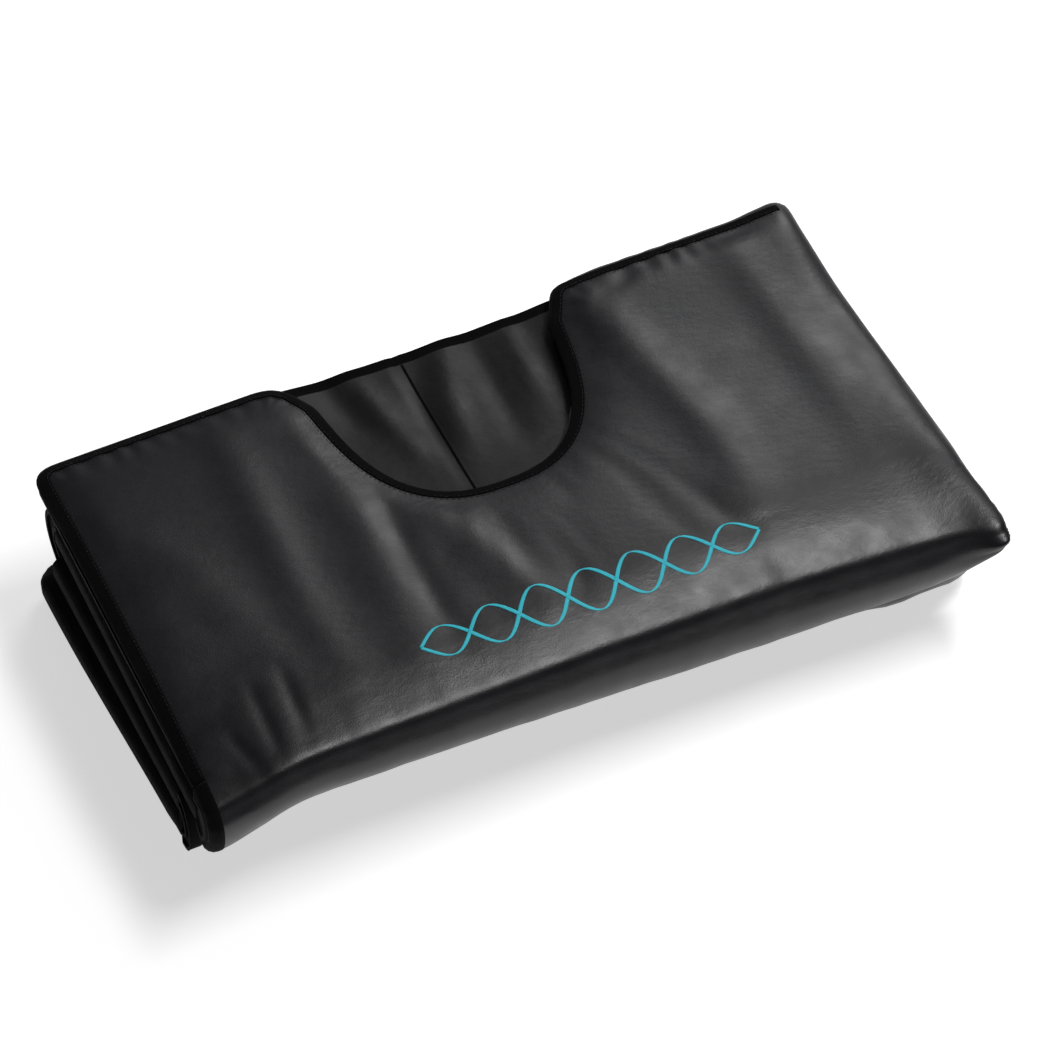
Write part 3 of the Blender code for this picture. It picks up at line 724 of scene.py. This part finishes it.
def stitches(name, tree, points, inset, pitch=0.0055, length=0.0036, radius=0.00034):
    """A row of thread stitches on the top surface, set in from the path."""
    path = resample(points, pitch)
    sides = 5
    verts, faces = [], []
    for p, t in zip(path[1:-1], tangents(path)[1:-1]):
        n = np.array([-t[1], t[0]])
        ends = []
        for s in (-0.5, 0.5):
            x, y = p + n * inset + t * length * s
            top = hit(tree, (x, y, Z_ABOVE), (0, 0, -1), 0.1)
            if top:
                ends.append(np.array(top))
        if len(ends) < 2:
            continue
        base = len(verts)
        side = np.array([n[0], n[1], 0.0])
        rise = np.array([0.0, 0.0, 1.0])
        centre = (ends[0] + ends[1]) / 2 + rise * radius
        for at, r in ((ends[0], 0.5), (centre, 1.0), (ends[1], 0.5)):
            for a in range(sides):
                turn = 2 * math.pi * a / sides
                verts.append(at + (side * math.cos(turn) + rise * math.sin(turn)) * radius * r)
        for ring in (base, base + sides):
            for a in range(sides):
                b = (a + 1) % sides
                faces.append((ring + a, ring + b, ring + sides + b, ring + sides + a))
        faces.append(tuple(base + a for a in range(sides))[::-1])
        faces.append(tuple(base + 2 * sides + a for a in range(sides)))
    return dress(fix_normals(new_object(name, verts, faces)), THREAD)


def strip_on(name, tree, left_edge, right_edge, thickness, material, down=False):
    """A thin strip between two plan paths of equal count, laid on the surface (or under it)."""
    sign = -1 if down else 1
    start = Z_UNDER_LEAF if down else Z_ABOVE
    verts, faces = [], []
    z = TOP
    across = 5
    rows = len(left_edge)
    for a, b in zip(left_edge, right_edge):
        for k in range(across):
            x, y = a + (b - a) * k / (across - 1)
            found = hit(tree, (x, y, start), (0, 0, -sign), 0.15)
            z = found.z if found else z
            verts.append((x, y, z - sign * 0.0003))
            verts.append((x, y, z + sign * thickness))
    width = across * 2
    for r in range(rows - 1):
        for k in range(across - 1):
            a = r * width + k * 2
            faces.append((a, a + 2, a + 2 + width, a + width))
            faces.append((a + 1, a + 1 + width, a + 3 + width, a + 3))
        for k in (0, across - 1):
            a = r * width + k * 2
            faces.append((a, a + width, a + 1 + width, a + 1))
    for r in (0, rows - 1):
        for k in range(across - 1):
            a = r * width + k * 2
            faces.append((a, a + 1, a + 3, a + 2))
    return dress(fix_normals(new_object(name, verts, faces)), material)


# ---------------- the other leaves
def spaced(a, b, pitch):
    """Even places from a to b, at most about a pitch apart."""
    return list(np.linspace(a, b, max(2, int(abs(b - a) / pitch) + 1)))


def quads(base, rows, across):
    """Faces between the neighbouring rows of a grid of vertices."""
    corners = [base + i * across + j for i in range(rows - 1) for j in range(across - 1)]
    return [(a, a + across, a + across + 1, a + 1) for a in corners]


def pinch(d):
    """A leaf's share of its full thickness at a distance from a bound edge."""
    at_edge, length = 0.24, 0.040
    t = np.clip(d / length, 0, 1)
    return at_edge + (1 - at_edge) * np.sqrt(1 - (1 - t) ** 2)


def padded_piece(name, verts, faces, kinds, weld=0.0):
    """A padded form whose faces are cover (kind 0), binding (1) or lining (2)."""
    thing = new_object(name, verts, faces)
    dress(thing, SHELL, TAPE_CLOTH, LINING)
    for polygon, kind in zip(thing.data.polygons, kinds):
        polygon.material_index = kind
    fix_normals(thing, weld)
    thing.data.set_sharp_from_angle(angle=math.radians(50))
    return thing


def leaf(name, panel, side, y_front, y_rear, hem, seed, inner_fn=None, pitch=0.011):
    """A leaf of a panel: padded body, pinched at its bound edges, rounded to the side fold."""
    z_low, z_high = PANEL_Z[panel]
    middle = (z_low + z_high) / 2
    near, far = 0.0004, LEAF - 0.0005
    fold_gap = 0.0008
    y_front += fold_gap
    if not hem:
        y_rear -= fold_gap
    # a grid that is finer at the bound edges and round the side fold
    xs = [X_LEFT + a for a in (0, 0.0012, 0.005, TAPE - 0.0006, TAPE, TAPE + 0.0016)]
    xs += spaced(X_LEFT + 0.018, X_LEFT + 0.06, 0.006) + spaced(X_LEFT + 0.068, X_RIGHT - 0.034, pitch)
    xs += [X_RIGHT - LEAF * (1 - math.sin(math.radians(a))) for a in (-20, 0, 15, 30, 45, 58, 70, 80, 88)]
    ys = spaced(y_front, y_rear - 0.068, pitch) + spaced(y_rear - 0.060, y_rear - 0.018, 0.006)
    if hem:
        ys += [y_rear - a for a in (TAPE + 0.0016, TAPE, TAPE - 0.0006, 0.005, 0.0012, 0)]
    else:
        ys += [y_rear - 0.012, y_rear - 0.006, y_rear]
    xs, ys = np.array(xs), np.array(ys)
    gx, gy = np.meshgrid(xs, ys, indexing="ij")
    plan_x, plan_y = gx.copy(), gy.copy()
    # the hem's left corner is round
    if hem:
        x_corner, y_corner = X_LEFT + CORNER_ROUND, y_rear - CORNER_ROUND
        out_x, out_y = x_corner - gx, gy - y_corner
        corner = (out_x > 0) & (out_y > 0)
        shrink = np.maximum(out_x, out_y) / np.maximum(np.hypot(out_x, out_y), 1e-9)
        plan_x = np.where(corner, x_corner - out_x * shrink, gx)
        plan_y = np.where(corner, y_corner + out_y * shrink, gy)
    # thickness: pinched at the bound edges, round on the right, and uneven
    flat = np.stack([gx.ravel(), gy.ravel(), np.full(gx.size, middle)], 1)
    profile = pinch(gx - X_LEFT)
    d = np.clip((X_RIGHT - gx) / LEAF, 0, 1)
    profile = profile * np.sqrt(np.clip(1 - (1 - d) ** 2, 0.02, 1))
    in_tape = gx < X_LEFT + TAPE - 0.0003
    if hem:
        profile = profile * pinch(y_rear - gy)
        in_tape |= gy > y_rear - TAPE + 0.0003
    ripple = 0.5 + 0.5 * noise_at(flat, 11.0, seed, (1.0, 2.0, 1.0), -30).reshape(gx.shape)
    ripple += 0.35 * noise_at(flat, 30.0, seed + 9, (1.0, 1.6, 1.0), 20).reshape(gx.shape)
    quiet = step(y_front - 0.001, y_front + 0.02, gy)
    if not hem:
        quiet *= step(y_rear + 0.001, y_rear - 0.02, gy)
    outer = near + (far - near) * profile - 0.0030 * np.clip(ripple, 0, 1.2) * quiet * profile
    outer = np.maximum(outer, near + 0.0035 * np.sqrt(np.clip(d * 4, 0, 1))) + 0.0006 * in_tape
    # the underside lifts off the floor with the foot fold
    if name == "foot_lower_leaf":
        outer -= 0.009 * step(0.22, 0.12, gx) * step(y_front + 0.035, y_front, gy)
    inner = np.full_like(gx, near)
    if inner_fn is not None:
        inner = inner_fn(gx, gy, inner)
        outer = np.maximum(outer, inner + 0.002)
    # outer surface, inner surface and the wall round both
    nx, ny = gx.shape
    verts = []
    for height in (outer, inner):
        verts += list(zip(plan_x.ravel(), plan_y.ravel(), (middle + side * height).ravel()))
    count = nx * ny
    faces, kinds = [], []
    for quad in quads(0, nx, ny):
        i, j = divmod(quad[0], ny)
        tape = (xs[i + 1] <= X_LEFT + TAPE) or (hem and ys[j] >= y_rear - TAPE - 1e-6)
        faces += [quad, tuple(q + count for q in quad)[::-1]]
        kinds += [1, 1] if tape else [0, 2]
    border = [i * ny for i in range(nx)] + [(nx - 1) * ny + j for j in range(1, ny)]
    border += [i * ny + ny - 1 for i in range(nx - 2, -1, -1)] + [j for j in range(ny - 2, 0, -1)]
    for a, b in zip(border, border[1:] + border[:1]):
        faces.append((a, b, b + count, a + count))
        left = max(gx.flat[a], gx.flat[b]) <= X_LEFT + TAPE
        rear = hem and min(gy.flat[a], gy.flat[b]) >= y_rear - 1e-6
        kinds.append(1 if left or rear else 0)
    return padded_piece(name, verts, faces, kinds)


def fold(name, z_axis, plane, side, x_end, seed, reach=lambda x: 1.0, hollow=lambda x: 0.0):
    """A bent fold: both leaves turn half round, with their bound ends on the left."""
    radius = FOLD_R - 0.0005
    xs = [X_LEFT + a for a in (0, 0.0012, TAPE - 0.0006, TAPE, TAPE + 0.0016)]
    xs += spaced(X_LEFT + 0.020, x_end - 0.045, 0.010)
    rounds = 0.040 if x_end > X_RIGHT + 0.02 else 0.026
    xs += [x_end - rounds * (1 - math.sin(math.radians(a))) for a in (0, 15, 30, 45, 58, 70, 80, 88)]
    turns = np.radians(np.linspace(90, -90, 25))
    verts, faces, kinds = [], [], []
    for x in xs:
        d = max(0.0, min(1.0, (x_end - x) / rounds))
        small = math.sqrt(max(1 - (1 - d) ** 2, 0.03))
        for t in turns:
            y = plane + side * radius * math.cos(t) * (0.35 + 0.65 * small) * reach(x)
            z = z_axis + radius * math.sin(t) * small
            p = np.array([[x, y, z]])
            wave = noise_at(p, 12.0, seed, (2.4, 0.7, 0.7))[0]
            wave += 0.5 * noise_at(p, 30.0, seed + 3, (2.0, 0.8, 0.8))[0]
            dip = 0.0026 * (0.5 + wave) * math.cos(t) ** 0.5 if abs(math.cos(t)) > 1e-6 else 0.0
            tape_lift = 0.0005 if x <= X_LEFT + TAPE - 0.0003 else 0.0
            scale = 1 - (dip - tape_lift) / radius
            low = 1 - hollow(x) * max(0.0, -math.sin(t))
            verts.append((x, plane + (y - plane) * scale, z_axis + (z - z_axis) * scale * low))
    across = len(turns)
    faces += quads(0, len(xs), across)
    for x in xs[1:]:
        kinds += [1 if x <= X_LEFT + TAPE + 1e-6 else 0] * (across - 1)
    # the bound ends of both leaves, one inside the other, with a groove between them
    base = len(verts)
    groove = 0.003
    rings = [0.0, 0.0056, 0.0056, 0.0205, 0.0205, 0.0262, 0.0262]
    depth = [0.0, 0.0, groove, groove, 0.0, 0.0, groove]
    for inset, deep in zip(rings, depth):
        for t in turns:
            r = radius - inset
            y = plane + side * r * math.cos(t) * reach(X_LEFT)
            low = 1 - hollow(X_LEFT) * max(0.0, -math.sin(t))
            verts.append((X_LEFT + deep, y, z_axis + r * math.sin(t) * low))
    faces += quads(base, len(rings), across)
    kinds += [1] * (len(faces) - len(kinds))
    inner = base + (len(rings) - 1) * across
    centre = len(verts)
    verts.append((X_LEFT + groove, plane, z_axis))
    faces += [(inner + j, inner + j + 1, centre) for j in range(across - 1)]
    kinds += [2] * (across - 1)
    # the right end, then the wall on the fold plane
    last = (len(xs) - 1) * across
    tip = len(verts)
    verts.append((x_end, plane + side * radius * 0.3, z_axis))
    faces += [(last + j, last + j + 1, tip) for j in range(across - 1)]
    kinds += [0] * (across - 1)
    for a in range(0, last, across):
        faces.append((a, a + across - 1, a + 2 * across - 1, a + across))
    faces.append((last, tip, last + across - 1))
    kinds += [2] * (len(faces) - len(kinds))
    return padded_piece(name, verts, faces, kinds, 1e-6)


# ================ build the pieces
def stands_for(thing, panel, *layers):
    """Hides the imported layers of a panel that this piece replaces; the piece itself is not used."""
    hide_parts(*[f"{panel}_{layer}" for layer in layers])


skin = build_head_skin()
upper, front_fold = split_at_fold(skin)
bpy.data.objects.remove(skin)
for thing in (upper, front_fold):
    dress(thing, SHELL, LINING)
    for polygon in thing.data.polygons:
        x, y, z = polygon.center
        if polygon.normal.z < -0.3 and y > Y_HEAD + 0.004 and z < LEAF_LOW + 0.014:
            polygon.material_index = 1

upper_tree = tree_of(upper, front_fold)

EDGE_PATH = free_edge()
neck_tape = plan_tape("upper_leaf_tape", upper_tree, EDGE_PATH)
fold_tape = nose_tape("front_fold_tape", upper_tree)
upper_stitches = stitches("upper_leaf_stitches", upper_tree, EDGE_PATH, TAPE + 0.0022)
tape_tree = tree_of(upper, neck_tape)
tape_stitches = stitches("tape_stitches", tape_tree, EDGE_PATH, TAPE - 0.0020)

# loop strip under the upper leaf, hook strip on the lower one
closure_x = X_LEFT + TAPE + 0.001
closure = resample([(closure_x, Y_HEAD + 0.030), (closure_x, Y_HEM - TAPE - 0.004)], 0.006)
closure_inner = closure + np.array([0.034, 0])
loop_strip = strip_on("upper_loop_strip", upper_tree, closure, closure_inner, 0.0012, LOOP, down=True)


def lower_inner(gx, gy, inner):
    """The lining seen in the cut-out: it sags a little, with soft folds from the hem."""
    inside = step(0.170, 0.110, np.abs(gx - X_MIDDLE)) * step(Y_HEM - 0.27, Y_HEM - 0.16, gy)
    sag = 0.0050 * inside
    flat = np.stack([gx.ravel(), gy.ravel()], 1)
    gathers = sum(crease(flat, *c) for c in LINING_FOLDS).reshape(gx.shape)
    welt = 0.0018 * np.exp(-(((gx + 0.0390) / 0.0040) ** 2))
    return inner + np.maximum(sag - gathers + welt * inside, 0)


lower = leaf("head_lower_leaf", "head", -1, Y_HEAD, Y_HEM, True, 3, lower_inner, 0.008)
lower_tree = tree_of(lower)
hook_strip = strip_on("lower_hook_strip", lower_tree, closure, closure_inner, 0.0010, HOOK)
seam = resample([(-0.0400, 0.020), (-0.0370, Y_HEM - TAPE - 0.001)], 0.005)
lining_seam = strip_on("lining_seam", lower_tree, seam, seam + np.array([0.0024, 0]), 0.0007, TAPE_CLOTH)

chest_upper = leaf("chest_upper_leaf", "chest", 1, Y_HEAD, Y_MIDDLE, False, 11)
chest_lower = leaf("chest_lower_leaf", "chest", -1, Y_HEAD, Y_MIDDLE, False, 12)
leg_upper = leaf("leg_upper_leaf", "leg", 1, Y_FOOT, Y_MIDDLE, False, 13)
leg_lower = leaf("leg_lower_leaf", "leg", -1, Y_FOOT, Y_MIDDLE, False, 14)
foot_upper = leaf("foot_upper_leaf", "foot", 1, Y_FOOT, Y_FOOT_HEM, True, 15)
foot_lower = leaf("foot_lower_leaf", "foot", -1, Y_FOOT, Y_FOOT_HEM, True, 16)
middle_fold = fold("middle_fold", AXIS_MIDDLE_Z, Y_MIDDLE, 1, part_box("fold_middle_shell")[1].x, 21)


def foot_reach(x):
    """The foot fold comes out to the front at its two ends only."""
    return 0.22 + 0.78 * float(step(0.16, 0.36, x)) + 0.34 * float(step(-0.30, -0.42, x))


def foot_hollow(x):
    """The foot fold's underside lies a little off the floor, but for its right end."""
    return 0.19 * float(step(0.22, 0.12, x))


foot_fold = fold("foot_fold", AXIS_FOOT_Z, Y_FOOT, -1, X_BULGE, 22, foot_reach, foot_hollow)


def stand_out(thing, rear):
    """Moves the rear of a lower panel's open side a little out or in."""
    co = coords(thing.data)
    co[:, 0] -= step(X_LEFT + 0.080, X_LEFT + 0.010, co[:, 0]) * rear * step(-0.20, 0.22, co[:, 1])
    set_coords(thing.data, co)


for things, rear in (
    ((foot_upper, foot_lower), 0.014),
    ((leg_upper, leg_lower), 0.004),
    ((chest_upper, chest_lower), -0.003),
    ((middle_fold,), -0.008),
):
    for thing in things:
        stand_out(thing, rear)


# the printed motif: two heat waves wound round each other, a generic pattern
MOTIF_START, MOTIF_END, MOTIF_Y, MOTIF_HEIGHT = -0.187, 0.195, -0.153, 0.052
MOTIF_WAVES, MOTIF_STROKE = 3.5, 0.0042


def motif(name, phase):
    xs = np.arange(MOTIF_START, MOTIF_END + 1e-9, 0.0018)
    t = (xs - MOTIF_START) / (MOTIF_END - MOTIF_START)
    swell = np.sin(np.pi * np.clip(t, 0.0, 1.0)) ** 0.5
    wave = np.sin(2 * math.pi * MOTIF_WAVES * t + phase) * (0.45 + 0.55 * swell)
    path = np.stack([xs, MOTIF_Y + MOTIF_HEIGHT / 2 * wave], 1)
    tangent = tangents(path)
    stroke = MOTIF_STROKE * (0.30 + 0.95 * np.abs(tangent[:, 1]) ** 1.5)
    side = np.stack([-tangent[:, 1], tangent[:, 0]], 1) * stroke[:, None] / 2
    return strip_on(name, upper_tree, path - side, path + side, 0.0005, MOTIF)


waves = [motif("motif_wave_one", 0.0), motif("motif_wave_two", math.pi)]

# ---------------- what rides on what
for thing in (upper, neck_tape, upper_stitches, tape_stitches, loop_strip):
    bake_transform(thing)
stands_for(upper, "head", "shell", "insulation", "front_heater", "lining")
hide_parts("corner_shell", "corner_insulation", "corner_lining")
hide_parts("neck_tape", "head_front_tape", "corner_tape")
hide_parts("head_loop_strip", "corner_loop_strip")
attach(lower, "head_panel")
stands_for(lower, "head", "back_heater", "back_tape")
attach(hook_strip, "head_panel")
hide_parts("head_hook_strip")
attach(lining_seam, "head_panel")
for wave in waves:
    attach(wave, "head_panel")
for thing, panel, layers in (
    (chest_upper, "chest", ("shell", "insulation", "lining", "back_heater", "back_tape", "hook_strip")),
    (chest_lower, "chest", ("front_heater", "front_tape", "loop_strip")),
    (leg_upper, "leg", ("shell", "insulation", "lining", "front_heater", "front_tape", "loop_strip")),
    (leg_lower, "leg", ("back_heater", "back_tape", "hook_strip")),
    (foot_upper, "foot", ("insulation", "lining", "back_heater", "back_tape", "hem_tape", "hook_strip")),
    (foot_lower, "foot", ("shell", "front_heater", "front_tape", "loop_strip")),
):
    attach(thing, panel + "_panel")
    stands_for(thing, panel, *layers)
for thing in (fold_tape, front_fold):
    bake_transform(thing)
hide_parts("fold_head_shell", "fold_head_filling")
for thing, name, a, b, z_axis in (
    (middle_fold, "fold_middle", "leg_panel", "chest_panel", AXIS_MIDDLE_Z),
    (foot_fold, "fold_foot", "foot_panel", "leg_panel", AXIS_FOOT_Z),
):
    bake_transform(thing)
    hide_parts(name + "_shell", name + "_filling")

for material, nodes in (
    (PLASTIC, ("inlet_housing", "contact_carrier", "thermal_cutout", "temperature_sensor")),
    (CONTACT, ("live_contact", "earth_contact", "neutral_contact")),
    (WADDING, ("power_lead",)),
):
    for node in nodes:
        dress(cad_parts[node], material)

# ---------------- floor, light and camera
floor = new_object("floor", [(-9, -9, 0), (9, -9, 0), (9, 9, 0), (-9, 9, 0)], [(0, 1, 2, 3)], False)
floor.location.z = -0.0006
pale = bpy.data.materials.new("pale_floor")
pale.use_nodes = True
pale_shader = pale.node_tree.nodes["Principled BSDF"]
put(pale_shader, Base_Color=(0.85, 0.85, 0.85, 1), Roughness=0.9, Specular_IOR_Level=0.1)
put(pale_shader, Emission_Color=(1, 1, 1, 1), Emission_Strength=0.60)
dress(floor, pale)

KEY = Vector((0.55, 0.60, 0.60)).normalized()
world = bpy.data.worlds.new("studio")
bpy.context.scene.world = world
world.use_nodes = True
sky = world.node_tree
where = sky.nodes.new("ShaderNodeTexCoord")
toward = sky.nodes.new("ShaderNodeVectorMath")
toward.operation = "DOT_PRODUCT"
toward.inputs[1].default_value = KEY
sky.links.new(where.outputs["Generated"], toward.inputs[0])
glow = sky.nodes.new("ShaderNodeMapRange")
glow.interpolation_type = "SMOOTHSTEP"
put(glow, From_Min=0.72, From_Max=1.0, To_Min=0.045, To_Max=0.38)
sky.links.new(toward.outputs["Value"], glow.inputs["Value"])
path = sky.nodes.new("ShaderNodeLightPath")
seen = sky.nodes.new("ShaderNodeMix")
sky.links.new(path.outputs["Is Camera Ray"], seen.inputs[0])
sky.links.new(glow.outputs["Result"], seen.inputs[2])
seen.inputs[3].default_value = 0.95
background = sky.nodes["Background"]
put(background, Color=(0.97, 0.965, 1.0, 1))
sky.links.new(seen.outputs[0], background.inputs["Strength"])


def soft_light(name, location, target, size, power):
    lamp = bpy.data.lights.new(name, "AREA")
    lamp.shape = "RECTANGLE"
    lamp.size, lamp.size_y = size
    lamp.energy = power
    thing = add_object(name, lamp)
    thing.location = location
    thing.rotation_mode = "QUATERNION"
    thing.rotation_quaternion = (Vector(target) - Vector(location)).to_track_quat("-Z", "Y")


soft_light("key_light", (2.3, 2.4, 2.7), (0.1, 0, 0.1), (1.5, 1.5), 32)
soft_light("top_light", (1.05, -0.50, 3.4), (0, 0, 0.1), (1.8, 0.55), 66)

AZIMUTH, ELEVATION = math.radians(25.1), math.radians(49.3)
TARGET = Vector((0.019, 0.0388, 0.077))
CAMERA_DISTANCE = 4.4
level = math.cos(ELEVATION)
back = Vector((-math.sin(AZIMUTH) * level, -math.cos(AZIMUTH) * level, math.sin(ELEVATION)))
camera = add_object("camera", bpy.data.cameras.new("camera"))
camera.data.lens = 141.5
camera.data.sensor_width = 36.0
camera.location = TARGET + back * CAMERA_DISTANCE
camera.rotation_mode = "QUATERNION"
camera.rotation_quaternion = (-back).to_track_quat("-Z", "Y")
bpy.context.scene.camera = camera
bpy.context.scene.view_settings.view_transform = "Standard"

bpy.context.view_layer.update()
